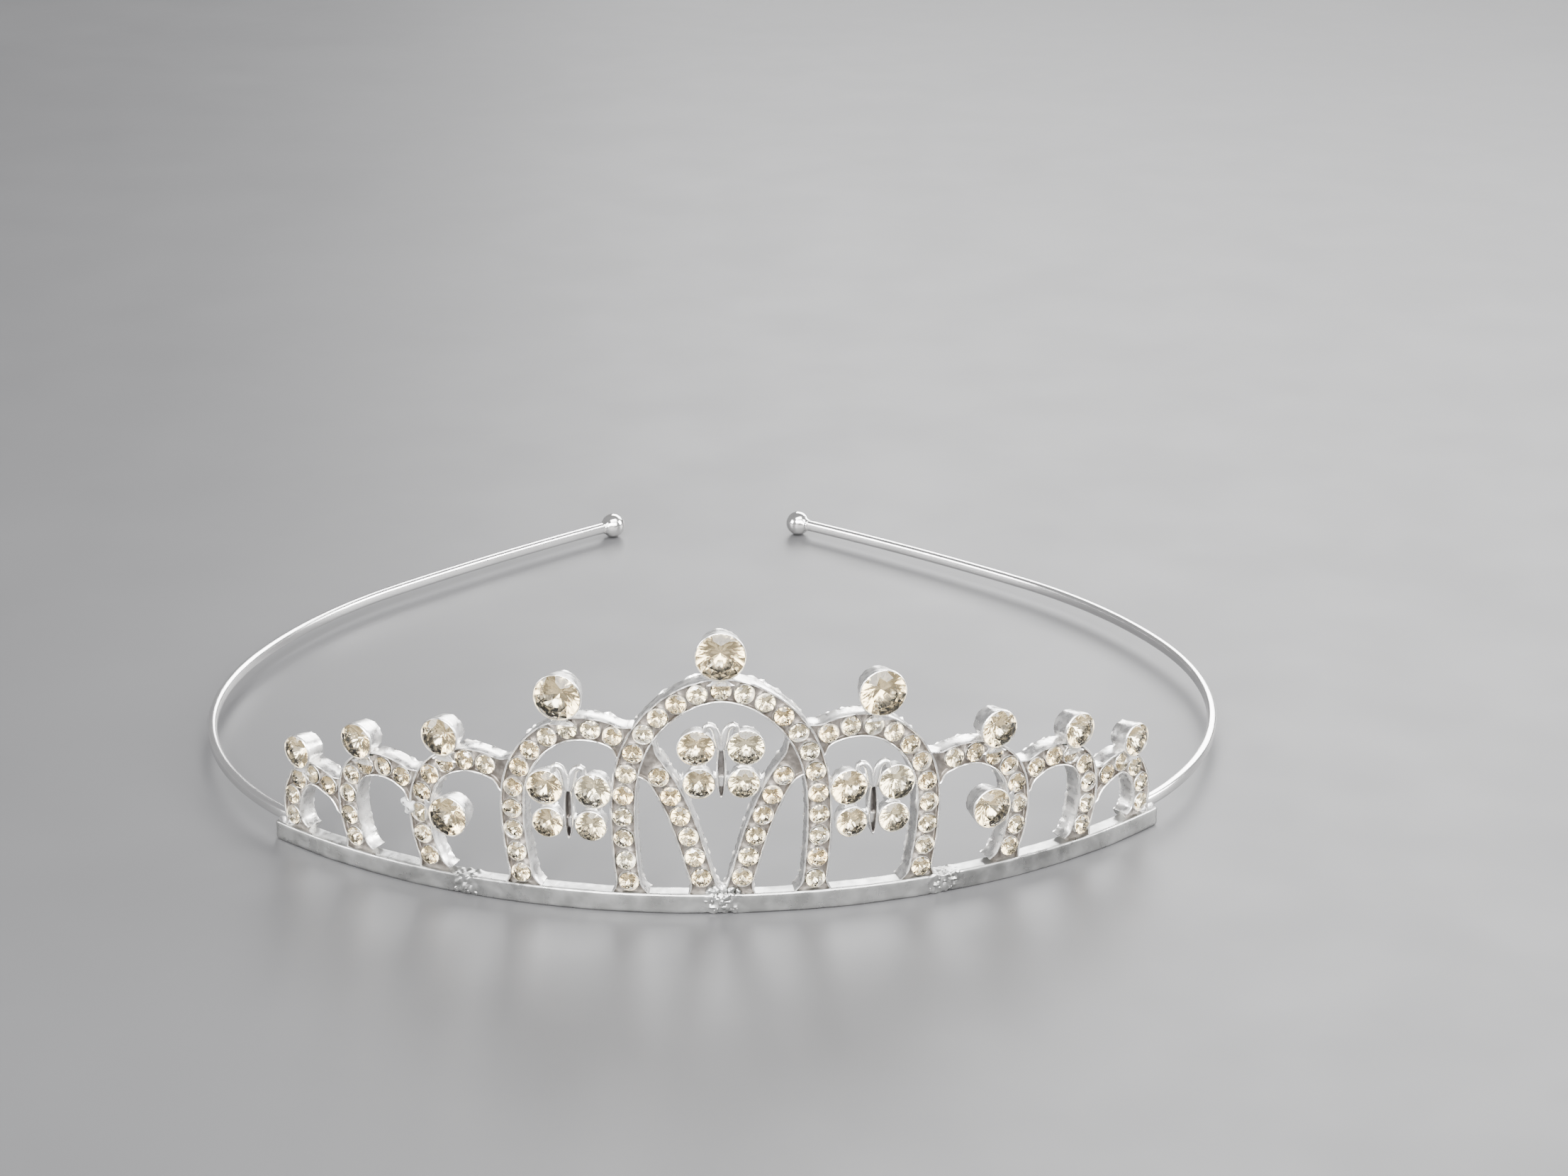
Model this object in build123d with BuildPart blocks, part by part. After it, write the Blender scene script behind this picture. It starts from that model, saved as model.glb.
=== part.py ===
"""Bridal tiara: a cast crown of stone-set arches on a curved base bar, with a wire headband.

The crown lies on an upright cylinder.  A place on it is given as (along, height): the
distance along the base bar from its middle, positive to the right, and the height above
the table.  "Proud" is the distance outward from the base bar's front face.  +Y points to
the back of the head, and the origin is under the middle of the base bar.
"""
from build123d import *
from math import atan2, cos, degrees, hypot, radians, sin
import os

os.makedirs("parts", exist_ok=True)

# ---- driving dimensions, mm -------------------------------------------------------
crown_radius = 78.0          # plan radius of the base bar's front face
bar_half_length = 61.3       # along the bar, middle to end
bar_height = 2.5
bar_depth = 2.2
bar_corner = 0.3
strip_width = 3.1            # an arch's face, seen from the front
strip_depth = 2.4
strip_setback = 0.15         # an arch's face behind the bar's face
cut_margin = 0.5             # how much deeper a strip is when it cuts its neighbours
station_spacing = 2.6        # between the sections that an arch is lofted through
foot = bar_height - 0.6      # arches start inside the bar and are cut off level on it

small_stone_radius = 1.24
small_stone_pitch = 2.8
small_stone_sink = 0.3       # a girdle behind the bar's face

# heights of a round stone, as shares of its radius
stone_crown = 0.34
stone_girdle = 0.12
stone_pavilion = 0.80
stone_table = 0.58
stone_tip = 0.06
pocket_mouth = 3.0           # mm that a pocket stays open in front of its stone

cup_wall = 0.20
cup_taper = 0.80             # back radius over front radius
cup_depth = 2.9
cup_proud = 0.7              # big cups' rims stand in front of the bar's face
neck_width = 2.0             # block that joins a cup to its arch
neck_length = 1.6
neck_depth = 1.8

# butterflies, measured from the middle of the body on a flat plane
upper_wing = (2.93, 3.0)
upper_wing_radius = 2.25
lower_wing = (2.62, -1.55)
lower_wing_radius = 1.96
wing_wall = 0.20
wing_depth = 2.3
wing_proud = 0.25
body_width = 0.9
body_length = 6.8
body_depth = 1.9
body_proud = 0.45
web_size = 1.1
web_depth = 0.9
web_sink = 0.9
link_length = 1.2            # short bars from the wing cups to the arches beside them
antenna_root = 3.0
antenna_tip = (1.5, 6.35)
antenna_width = 0.72
antenna_depth = 0.9
antenna_curl = 0.52

# headband wire, from its end on top of the bar round to the ball at the back
wire_thickness = 1.2         # across, in plan
wire_height = 1.6
wire_corner = 0.5
wire_start = 58.9            # along the bar
wire_bedding = 0.06          # the wire's end is filed flat by this much to sit on the bar
stub_radius = 26.0
stub_turn = 8.5              # degrees
hinge_gap = 0.3              # clearance where each arm flexes
arm_bends = ((50.5, 39.5), (50.0, 20.5), (73.0, 24.5), (356.0, 6.5))  # radius, degrees
ball_radius = 1.8
wire_in_ball = 1.0
solder_radius = 1.05
solder_top_radius = 0.85
solder_height = 1.0
solder_from_end = 1.2

# ---- arch lines on the right half, as (along, height) --------------------------------
centre_side = ((10.9, foot), (11.7, 12.5), (9.2, 23.1))
centre_crest = (0.0, 28.8)
arch_points = {
    "main": ((24.0, foot), (25.3, 11.5), (24.3, 17.8), (18.6, 23.1),
             (12.7, 22.7), (7.0, 17.1), (4.1, 10.4), (1.6, foot)),
    "second": ((35.0, foot), (37.6, 9.5), (36.1, 15.0), (31.4, 17.7), (27.9, 17.3), (24.8, 15.8)),
    "third": ((46.0, foot), (48.3, 8.5), (47.0, 13.2), (43.0, 14.7), (39.8, 13.8), (37.4, 12.2)),
    "fourth": ((56.2, foot), (57.7, 7.2), (54.6, 10.7), (51.2, 9.9), (48.4, 8.4)),
}
# stones in each row, and how far the first one is from the line's foot
stone_rows = {"main": (11, 2.1), "second": (8, 2.8), "third": (7, 2.8), "fourth": (5, 2.9)}
centre_row = (23, 2.13)
inner_leg_row = (6, 2.9)

# ---- big settings: (along, height) of the middle and the cup's radius ----------------
centre_setting = ((0.0, 33.4), 3.05)
top_settings = {
    "main": ((19.1, 27.6), 2.95),
    "second": ((34.1, 20.55), 2.45),
    "third": ((45.9, 17.6), 2.30),
    "fourth": ((55.65, 13.6), 2.15),
}
side_setting = ((33.35, 10.3), 2.60)
butterfly_places = {"centre": (0.0, 18.7), "left": (-18.1, 12.75), "right": (18.1, 12.75)}

sides = (("left", -1), ("right", 1))
axis_y = crown_radius - bar_depth / 2            # the crown cylinder's upright axis
bar_half_angle = degrees(bar_half_length / crown_radius)
bar_top = Plane.XY.offset(bar_height)


# ---- places on the crown --------------------------------------------------------------
def outward(along):
    turn = along / crown_radius
    return Vector(sin(turn), -cos(turn), 0)


def sideways(along):
    turn = along / crown_radius
    return Vector(cos(turn), sin(turn), 0)


def on_crown(along, height, proud=0.0):
    return Vector(0, axis_y, height) + outward(along) * (crown_radius + proud)


def crown_plane(along, height, proud=0.0):
    """Plane facing outward at a place on the crown, with its Y straight up."""
    return Plane(on_crown(along, height, proud), x_dir=sideways(along), z_dir=outward(along))


def mirrored(points, side):
    return [(side * along, height) for along, height in points]


def stations(line):
    """Planes across a strip at even steps: X points outward and Z runs along the strip."""
    steps = round(line.length / station_spacing)
    for step in range(steps + 1):
        place = line @ (step / steps)
        direction = line % (step / steps)
        travel = sideways(place.X) * direction.X + Vector(0, 0, direction.Y)
        yield Plane(on_crown(place.X, place.Y, -strip_setback),
                    x_dir=outward(place.X), z_dir=travel)


def seats_along(line, count, first, from_end=False):
    """Evenly pitched seats along a line, counted from one of its ends."""
    planes = []
    for index in range(count):
        share = (first + index * small_stone_pitch) / line.length
        place = line @ (1 - share if from_end else share)
        planes.append(crown_plane(place.X, place.Y, -small_stone_sink))
    return planes


# ---- shared shapes, facing +Z with the girdle at Z = 0 ---------------------------------
def turned(outline):
    with BuildPart() as solid:
        with BuildSketch(Plane.XZ):
            with BuildLine():
                Polyline(*outline, close=True)
            make_face()
        revolve(axis=Axis.Z)
    return solid.part


def round_stone(radius):
    return turned([(0, -stone_pavilion * radius),
                   (stone_tip * radius, -stone_pavilion * radius),
                   (radius, 0),
                   (radius, stone_girdle * radius),
                   (stone_table * radius, stone_crown * radius),
                   (0, stone_crown * radius)])


def stone_pocket(radius):
    return turned([(0, -stone_pavilion * radius),
                   (stone_tip * radius, -stone_pavilion * radius),
                   (radius, 0),
                   (radius, pocket_mouth),
                   (0, pocket_mouth)])


def write(part, name):
    part.label = name
    export_step(part, f"parts/{name}.step")


small_stone = round_stone(small_stone_radius)
small_pocket = stone_pocket(small_stone_radius)

# ---- base bar --------------------------------------------------------------------------
with BuildPart() as base_bar:
    with BuildSketch(Plane.XY):
        with BuildLine():
            front = CenterArc((0, axis_y), crown_radius, 270 - bar_half_angle, 2 * bar_half_angle)
            rear = CenterArc((0, axis_y), crown_radius - bar_depth,
                             270 - bar_half_angle, 2 * bar_half_angle)
            Line(front @ 0, rear @ 0)
            Line(front @ 1, rear @ 1)
        make_face()
    extrude(amount=bar_height)
    chamfer(base_bar.edges().filter_by(Axis.Z), length=bar_corner)
write(base_bar.part, "base_bar")


# ---- arches ------------------------------------------------------------------------------
def swept_strip(line, margin=0.0):
    """A strip along a line, thickened by a margin in front and behind."""
    with BuildPart() as strip:
        for plane in stations(line):
            with BuildSketch(plane):
                with Locations((margin, 0)):
                    Rectangle(strip_depth + 2 * margin, strip_width,
                              align=(Align.MAX, Align.CENTER))
        loft()
    return strip.part


def trimmed_strip(line, in_front):
    """A strip cut level on the bar, and where other arches pass in front of it."""
    with BuildPart() as strip:
        add(swept_strip(line))
        split(bisect_by=bar_top, keep=Keep.TOP)
        for cutter in in_front:
            add(cutter, mode=Mode.SUBTRACT)
    return strip.part


def seated(metal, seats):
    """The metal with a pocket at each seat."""
    with BuildPart() as drilled:
        add(metal)
        with Locations(*seats):
            add(small_pocket, mode=Mode.SUBTRACT)
    return drilled.part


def stones_at(seats):
    with BuildPart() as row:
        with Locations(*seats):
            add(small_stone)
    return row.part


seats = {}                   # arch name: planes of its stones
bare = {}                    # arch name: the strip before its seats are cut
cutters = {}                 # arch name: a deeper strip, to trim what meets it

centre_line = Spline(*mirrored(centre_side, -1), centre_crest, *reversed(centre_side))
bare["centre_arch"] = trimmed_strip(centre_line, [])
cutters["centre_arch"] = swept_strip(centre_line, cut_margin)
seats["centre_arch"] = seats_along(centre_line, *centre_row)

for side_name, side in sides:
    passed = "centre_arch"
    for arch, points in arch_points.items():
        name = f"{side_name}_{arch}_arch"
        line = Spline(*mirrored(points, side))
        strip = trimmed_strip(line, [cutters[passed]])
        seats[name] = seats_along(line, *stone_rows[arch])
        cutters[name] = swept_strip(line, cut_margin)
        # what is left beyond the arch in front is a separate piece
        pieces = sorted(strip.solids(), key=lambda solid: side * solid.center().X)
        bare[name] = pieces[-1]
        if arch == "main":
            leg = f"{side_name}_inner_leg"
            with BuildPart() as inner_leg:
                add(pieces[0])
                split(bisect_by=Plane.YZ, keep=Keep.TOP if side > 0 else Keep.BOTTOM)
            bare[leg] = inner_leg.part
            seats[leg] = seats_along(line, *inner_leg_row, from_end=True)
        passed = name

for name, metal in bare.items():
    with BuildPart() as arch:
        add(seated(metal, seats[name]))
    write(arch.part, name)
    with BuildPart() as stones:
        add(stones_at(seats[name]))
    write(stones.part, f"{name}_stones")


# ---- cups and their big stones -------------------------------------------------------------
def make_setting(name, place, radius, toward, touching):
    """A tapered cup with a neck toward its arch, and the stone that it holds."""
    plane = crown_plane(*place, cup_proud)
    neck_plane = crown_plane(*place, -strip_setback)
    reach = radius - neck_length / 2
    stone_radius = radius - cup_wall
    with BuildPart() as cup:
        with Locations(plane):
            Cone(bottom_radius=radius * cup_taper, top_radius=radius, height=cup_depth,
                 align=(Align.CENTER, Align.CENTER, Align.MAX))
        with Locations(neck_plane):
            with Locations((toward[0] * reach, toward[1] * reach, -neck_depth / 2)):
                Box(neck_length if toward[0] else neck_width,
                    neck_length if toward[1] else neck_width, neck_depth)
        for piece in touching:
            add(piece, mode=Mode.SUBTRACT)
        with Locations(plane.offset(-stone_girdle * stone_radius)):
            add(stone_pocket(stone_radius), mode=Mode.SUBTRACT)
    write(cup.part, f"{name}_cup")
    with BuildPart() as stone:
        with Locations(plane.offset(-stone_girdle * stone_radius)):
            add(round_stone(stone_radius))
    write(stone.part, f"{name}_stone")


down = (0, -1)
make_setting("centre_top", *centre_setting, down,
             [bare["centre_arch"], stones_at(seats["centre_arch"])])
for side_name, side in sides:
    for arch, (place, radius) in top_settings.items():
        below = f"{side_name}_{arch}_arch"
        make_setting(f"{side_name}_{arch}_top", *mirrored([place], side), radius, down,
                     [bare[below], stones_at(seats[below])])
    beside = f"{side_name}_second_arch"
    place, radius = side_setting
    make_setting(f"{side_name}_side", *mirrored([place], side), radius, (side, 0),
                 [bare[beside], stones_at(seats[beside])])

# ---- butterflies -----------------------------------------------------------------------------
wings = ((upper_wing, upper_wing_radius), (lower_wing, lower_wing_radius))
neighbours = {
    "centre": ("centre_arch", "left_main_arch", "right_main_arch"),
    "left": ("centre_arch", "left_main_arch"),
    "right": ("centre_arch", "right_main_arch"),
}


def wing_seats(across, up, radius):
    """The pair of places of a butterfly's left and right stones of one size."""
    level = wing_proud - stone_girdle * (radius - wing_wall)
    return Locations((across, up, level), (-across, up, level))


def flat_butterfly(linked):
    """Butterfly frame facing +Z, with links from one pair of wings to the arches beside it."""
    (link_across, link_up), link_radius = linked
    with BuildPart() as frame:
        with Locations((0, 0, body_proud)):
            Box(body_width, body_length, body_depth, align=(Align.CENTER, Align.CENTER, Align.MAX))
        for (across, up), radius in wings:
            with Locations((across, up, wing_proud), (-across, up, wing_proud)):
                Cone(bottom_radius=radius * cup_taper, top_radius=radius, height=wing_depth,
                     align=(Align.CENTER, Align.CENTER, Align.MAX))
            with Locations((0, up, -web_sink)):
                Box(2 * across, web_size, web_depth)
        for side in (-1, 1):
            with Locations((side * lower_wing[0], (upper_wing[1] + lower_wing[1]) / 2, -web_sink)):
                Box(web_size, upper_wing[1] - lower_wing[1], web_depth)
            with Locations((side * (link_across + link_radius), link_up, -web_sink)):
                Box(link_length, web_size, web_depth)
            rise = antenna_tip[1] - antenna_root
            with BuildSketch(Plane.XY.offset(body_proud)):
                with Locations((side * antenna_tip[0] / 2, antenna_root + rise / 2)):
                    SlotCenterToCenter(hypot(antenna_tip[0], rise), antenna_width,
                                       rotation=degrees(atan2(rise, side * antenna_tip[0])))
                with Locations((side * antenna_tip[0], antenna_tip[1])):
                    Circle(antenna_curl)
            extrude(amount=-antenna_depth)
        for (across, up), radius in wings:
            with wing_seats(across, up, radius):
                add(stone_pocket(radius - wing_wall), mode=Mode.SUBTRACT)
    return frame.part


with BuildPart() as flat_stones:
    for (across, up), radius in wings:
        with wing_seats(across, up, radius):
            add(round_stone(radius - wing_wall))

for place_name, place in butterfly_places.items():
    linked = wings[1] if place_name == "centre" else wings[0]
    with BuildPart() as butterfly:
        with Locations(crown_plane(*place)):
            add(flat_butterfly(linked))
        for neighbour in neighbours[place_name]:
            add(cutters[neighbour], mode=Mode.SUBTRACT)
    write(butterfly.part, f"{place_name}_butterfly")
    with BuildPart() as stones:
        with Locations(crown_plane(*place)):
            add(flat_stones.part)
    write(stones.part, f"{place_name}_butterfly_stones")

# ---- headband ------------------------------------------------------------------------------------
# The wire leaves the top of the bar and falls gently, so that the balls touch the table.
start_heading = degrees(wire_start / crown_radius)
start_point = on_crown(wire_start, 0, -bar_depth / 2)
back_y = 126.1
start_height = bar_height + wire_height / 2 - wire_bedding
fall = (start_height - ball_radius) / (back_y - start_point.Y)
front_height = start_height + fall * start_point.Y
slope = Vector(0, 1, -fall).normalized()
headband_plane = Plane((0, 0, front_height), x_dir=(1, 0, 0), z_dir=Vector(1, 0, 0).cross(slope))


def wire_section(line):
    return Plane(line @ 0, x_dir=headband_plane.z_dir, z_dir=line % 0)


for side_name, side in sides:
    heading = (side * cos(radians(start_heading)), sin(radians(start_heading)))
    with BuildPart() as stub:
        with BuildLine(headband_plane) as stub_line:
            stub_arc = JernArc(start=(side * start_point.X, start_point.Y), tangent=heading,
                               radius=stub_radius, arc_size=side * stub_turn)
        with BuildSketch(wire_section(stub_arc)):
            RectangleRounded(wire_height, wire_thickness, wire_corner)
        sweep()
        add(base_bar.part, mode=Mode.SUBTRACT)
        add(cutters[f"{side_name}_fourth_arch"], mode=Mode.SUBTRACT)
    write(stub.part, f"{side_name}_wire_end")

    with BuildPart() as arm:
        with BuildLine(headband_plane) as arm_line:
            place = stub_arc @ 1 + (stub_arc % 1) * hinge_gap
            direction = stub_arc % 1
            for radius, turn in arm_bends:
                bend = JernArc(start=place, tangent=direction, radius=radius, arc_size=side * turn)
                place = bend @ 1
                direction = bend % 1
        with BuildSketch(wire_section(arm_line.line)):
            RectangleRounded(wire_height, wire_thickness, wire_corner)
        sweep()
    write(arm.part, f"{side_name}_headband_arm")

    with BuildPart() as ball:
        with Locations(place + direction * (ball_radius - wire_in_ball)):
            Sphere(ball_radius)
        add(arm.part, mode=Mode.SUBTRACT)
    write(ball.part, f"{side_name}_ball_tip")

    with BuildPart() as solder:
        with Locations(crown_plane(side * (bar_half_length - solder_from_end), bar_height,
                                   -bar_depth / 2)):
            with Locations(Rotation(-90, 0, 0)):
                Cone(bottom_radius=solder_radius, top_radius=solder_top_radius,
                     height=solder_height, align=(Align.CENTER, Align.CENTER, Align.MIN))
        add(stub.part, mode=Mode.SUBTRACT)
    with BuildPart() as fillets:
        add(solder.part.solids().sort_by(SortBy.VOLUME)[-2:])
    write(fillets.part, f"{side_name}_solder")
    print(side_name, "flexing point", stub_arc @ 1 + (stub_arc % 1) * hinge_gap / 2)
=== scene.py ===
"""Bridal tiara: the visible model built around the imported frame.

Shapes are worked out in millimetres.  A place on the crown is (along, height, proud): the
distance along the base bar from its middle, the height above the table, and the distance
in front of the base bar's face.
"""
import random
from math import cos, hypot, pi, radians, sin, tau

import bpy
import numpy as np
from mathutils import Matrix, Vector, noise


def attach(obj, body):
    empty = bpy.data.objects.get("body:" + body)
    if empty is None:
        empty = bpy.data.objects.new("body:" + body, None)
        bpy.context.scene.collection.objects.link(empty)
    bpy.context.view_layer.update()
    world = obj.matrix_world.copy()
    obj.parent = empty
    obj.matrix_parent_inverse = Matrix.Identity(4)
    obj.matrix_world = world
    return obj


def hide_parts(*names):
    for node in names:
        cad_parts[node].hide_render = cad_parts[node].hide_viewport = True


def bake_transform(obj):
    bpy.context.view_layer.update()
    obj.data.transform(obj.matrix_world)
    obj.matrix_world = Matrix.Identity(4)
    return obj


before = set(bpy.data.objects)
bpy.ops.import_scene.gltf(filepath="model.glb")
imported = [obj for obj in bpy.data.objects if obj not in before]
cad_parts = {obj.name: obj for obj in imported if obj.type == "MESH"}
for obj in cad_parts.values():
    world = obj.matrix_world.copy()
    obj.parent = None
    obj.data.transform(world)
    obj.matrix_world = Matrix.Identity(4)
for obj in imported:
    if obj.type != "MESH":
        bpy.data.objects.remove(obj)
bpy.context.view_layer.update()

MM = 0.001
SIDES = (("left", -1), ("right", 1))

# ---- dimensions shared with the CAD part, mm -------------------------------------------
crown_radius = 78.0
bar_half_length = 61.3
bar_height = 2.5
bar_depth = 2.2
strip_half_width = 1.55
strip_depth = 2.4
strip_setback = 0.15
foot = 1.9
axis_y = crown_radius - bar_depth / 2

seat_pitch = 2.8
seat_sink = 0.3
big_wall = 0.17
cup_taper = 0.80
cup_depth = 2.9
cup_proud = 0.7
upper_wing = ((2.93, 3.0), 2.30)
lower_wing = ((2.62, -1.55), 1.98)
wing_wall = 0.16
wing_depth = 2.3
wing_proud = 0.25

centre_side = ((10.9, foot), (11.7, 12.5), (9.2, 23.1))
centre_crest = (0.0, 28.8)
arch_points = {
    "main": ((24.0, foot), (25.3, 11.5), (24.3, 17.8), (18.6, 23.1),
             (12.7, 22.7), (7.0, 17.1), (4.1, 10.4), (1.6, foot)),
    "second": ((35.0, foot), (37.6, 9.5), (36.1, 15.0), (31.4, 17.7), (27.9, 17.3), (24.8, 15.8)),
    "third": ((46.0, foot), (48.3, 8.5), (47.0, 13.2), (43.0, 14.7), (39.8, 13.8), (37.4, 12.2)),
    "fourth": ((56.2, foot), (57.7, 7.2), (54.6, 10.7), (51.2, 9.9), (48.4, 8.4)),
}
seat_rows = {"main": (11, 2.1), "second": (8, 2.8), "third": (7, 2.8), "fourth": (5, 2.9)}
centre_row = (23, 2.13)
inner_leg_row = (6, 2.9)
centre_setting = ((0.0, 33.4), 3.05)
top_settings = {
    "main": ((19.1, 27.6), 2.95),
    "second": ((34.1, 20.55), 2.45),
    "third": ((45.9, 17.6), 2.30),
    "fourth": ((55.65, 13.6), 2.15),
}
side_setting = ((33.35, 10.3), 2.60)
butterfly_places = {"centre": (0.0, 18.7), "left": (-18.1, 12.75), "right": (18.1, 12.75)}

wire_start = 58.9
wire_thickness = 1.2
wire_height = 1.6
wire_corner = 0.5
start_height = 3.24
back_y = 126.1
wire_bends = ((26.0, 8.5), None, (50.5, 39.5), (50.0, 20.5), (73.0, 24.5), (356.0, 6.5))
hinge_gap = 0.3
ball_radius = 1.8
wire_in_ball = 1.0

# ---- fine shape that only the visible model has, mm --------------------------------------
rim_width = 0.26
channel_depth = 0.62
flare_reach = 1.5
flare_spread = 0.75
small_stone_radius = 1.17
ring_outer = 1.29
pocket_radius = 0.98
station_gap = 0.3
lumps = ((-31.6, 2.0), (0.1, 2.6), (27.4, 2.6))    # rough solder on the base bar: (along, reach)
# solder at the inner legs' feet: (along, height, size)
foot_crumbs = [(-1.5, 2.75, 0.5), (-0.7, 2.9, 0.62), (0.15, 2.95, 0.66), (1.0, 2.8, 0.55),
               (1.9, 2.6, 0.45), (0.5, 2.1, 0.55), (0.0, 1.5, 0.5), (0.9, 1.7, 0.38), (0.3, 0.8, 0.42),
               (-0.7, 0.5, 0.38), (0.9, 0.45, 0.34), (-0.2, 2.2, 0.45)]


# ---- places --------------------------------------------------------------------------------
def on_crown(along, height, proud=0.0):
    turn = along / crown_radius
    reach = crown_radius + proud
    return Vector((reach * sin(turn), axis_y - reach * cos(turn), height))


def tangent_place(place, proud):
    """A function from flat (x, y, z) to the plane that touches the crown at a place."""
    turn = place[0] / crown_radius
    across = Vector((cos(turn), sin(turn), 0))
    out = Vector((sin(turn), -cos(turn), 0))
    middle = on_crown(*place, proud)
    return lambda x, y, z: middle + across * x + Vector((0, 0, y)) + out * z


def flat_place(place, proud):
    """The same on the unrolled crown, before it's wrapped."""
    return lambda x, y, z: Vector((place[0] + x, place[1] + y, proud + z))


def uneven(point, size, amount):
    return amount * noise.noise(Vector(point) / size)


class Line:
    """The CAD part's smooth line through a few (along, height) points."""

    def __init__(self, points):
        places = np.array(points, float)
        gaps = np.linalg.norm(np.diff(places, axis=0), axis=1)
        times = np.r_[0, np.cumsum(gaps)]
        slopes = self.slopes(times, places, gaps)
        samples = []
        for k, gap in enumerate(gaps):
            u = np.linspace(0, 1, 60, endpoint=k == len(gaps) - 1)[:, None]
            samples.append((2 * u**3 - 3 * u**2 + 1) * places[k] + (3 * u**2 - 2 * u**3) * places[k + 1]
                           + gap * ((u**3 - 2 * u**2 + u) * slopes[k] + (u**3 - u**2) * slopes[k + 1]))
        self.places = np.concatenate(samples)
        steps = np.linalg.norm(np.diff(self.places, axis=0), axis=1)
        self.distances = np.r_[0, np.cumsum(steps)]
        self.length = self.distances[-1]

    @staticmethod
    def slopes(times, places, gaps):
        count = len(times)
        left, right = np.eye(count), np.zeros((count, 2))
        near = min(4, count)
        for end, chosen in ((0, slice(0, near)), (count - 1, slice(count - near, count))):
            for axis in (0, 1):
                curve = np.polyfit(times[chosen], places[chosen, axis], near - 1)
                right[end, axis] = np.polyval(np.polyder(curve), times[end])
        for k in range(1, count - 1):
            before, after = gaps[k - 1], gaps[k]
            left[k, k - 1:k + 2] = after, 2 * (before + after), before
            right[k] = 3 * (after * (places[k] - places[k - 1]) / before
                            + before * (places[k + 1] - places[k]) / after)
        return np.linalg.solve(left, right)

    def place(self, distance):
        return np.array([np.interp(distance, self.distances, self.places[:, axis])
                         for axis in (0, 1)])

    def direction(self, distance):
        step = self.place(distance + 0.1) - self.place(distance - 0.1)
        return step / hypot(*step)

    def gap_to(self, point):
        return np.linalg.norm(self.places - point, axis=1).min()


# ---- shapes ----------------------------------------------------------------------------------
class Shape:
    """Points in millimetres and faces, each face with the number of its finish."""

    def __init__(self):
        self.points, self.faces, self.finishes = [], [], []

    def face(self, corners, finish=0):
        self.faces.append(tuple(corners))
        self.finishes.append(finish)

    def skin(self, rings, finishes=0, looped=False):
        """Skin equal closed rings, with a cap at each end unless the last meets the first.

        finishes is one number, or a list with the number for each place round a ring.
        """
        first, count = len(self.points), len(rings[0])
        for ring in rings:
            self.points += [Vector(point) for point in ring]
        rows = len(rings) if looped else len(rings) - 1
        for row in range(rows):
            low, high = first + row * count, first + (row + 1) % len(rings) * count
            for k in range(count):
                following = (k + 1) % count
                finish = finishes[k] if isinstance(finishes, list) else finishes
                self.face((low + k, low + following, high + following, high + k), finish)
        if not looped:
            self.face(range(first + count - 1, first - 1, -1))
            self.face(range(first + rows * count, first + rows * count + count))

    def turn(self, outline, place, segments, looped=False, wobble=None):
        """Turn an outline of (radius, z) about the z axis of a place."""
        rings = []
        for number, (radius, level) in enumerate(outline):
            ring = []
            for k in range(segments):
                angle = tau * k / segments
                reach = radius + (wobble(number, angle) if wobble else 0)
                ring.append(place(reach * cos(angle), reach * sin(angle), level))
            rings.append(ring)
        self.skin(rings, 0, looped)

    def add(self, other):
        first = len(self.points)
        self.points += other.points
        self.faces += [tuple(first + k for k in face) for face in other.faces]
        self.finishes += other.finishes

    def wrapped(self):
        """The shape after its unrolled points are wrapped on the crown."""
        self.points = [on_crown(*point) for point in self.points]
        return self


def mesh_of(shape, name, scale=MM):
    mesh = bpy.data.meshes.new(name)
    mesh.from_pydata([point * scale for point in shape.points], [], shape.faces)
    mesh.polygons.foreach_set("material_index", shape.finishes)
    return mesh


def without(shape, cutters):
    """The shape less each cutter."""
    kept = bpy.data.objects.new("kept", mesh_of(shape, "kept", 1))
    bpy.context.collection.objects.link(kept)
    spare = [kept]
    for cutter in cutters:
        taken = bpy.data.objects.new("taken", mesh_of(cutter, "taken", 1))
        bpy.context.collection.objects.link(taken)
        spare.append(taken)
        modifier = kept.modifiers.new("cut", "BOOLEAN")
        modifier.object, modifier.operation, modifier.solver = taken, "DIFFERENCE", "EXACT"
    result = kept.evaluated_get(bpy.context.evaluated_depsgraph_get()).to_mesh()
    left = Shape()
    left.points = [vertex.co.copy() for vertex in result.vertices]
    for polygon in result.polygons:
        left.face(polygon.vertices, polygon.material_index)
    for item in spare:
        mesh = item.data
        bpy.data.objects.remove(item)
        bpy.data.meshes.remove(mesh)
    return left


def piece(shape, name, materials, nodes, body="crown", sharp=35):
    """A finished object that rides on a body and stands for its CAD nodes."""
    mesh = mesh_of(shape, name)
    mesh.validate()
    for material in materials:
        mesh.materials.append(material)
    if sharp:
        mesh.polygons.foreach_set("use_smooth", [True] * len(mesh.polygons))
        mesh.set_sharp_from_angle(angle=radians(sharp))
    made = bpy.data.objects.new(name, mesh)
    bpy.context.collection.objects.link(made)
    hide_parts(*nodes)
    if body:
        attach(made, body)
    return made


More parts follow.
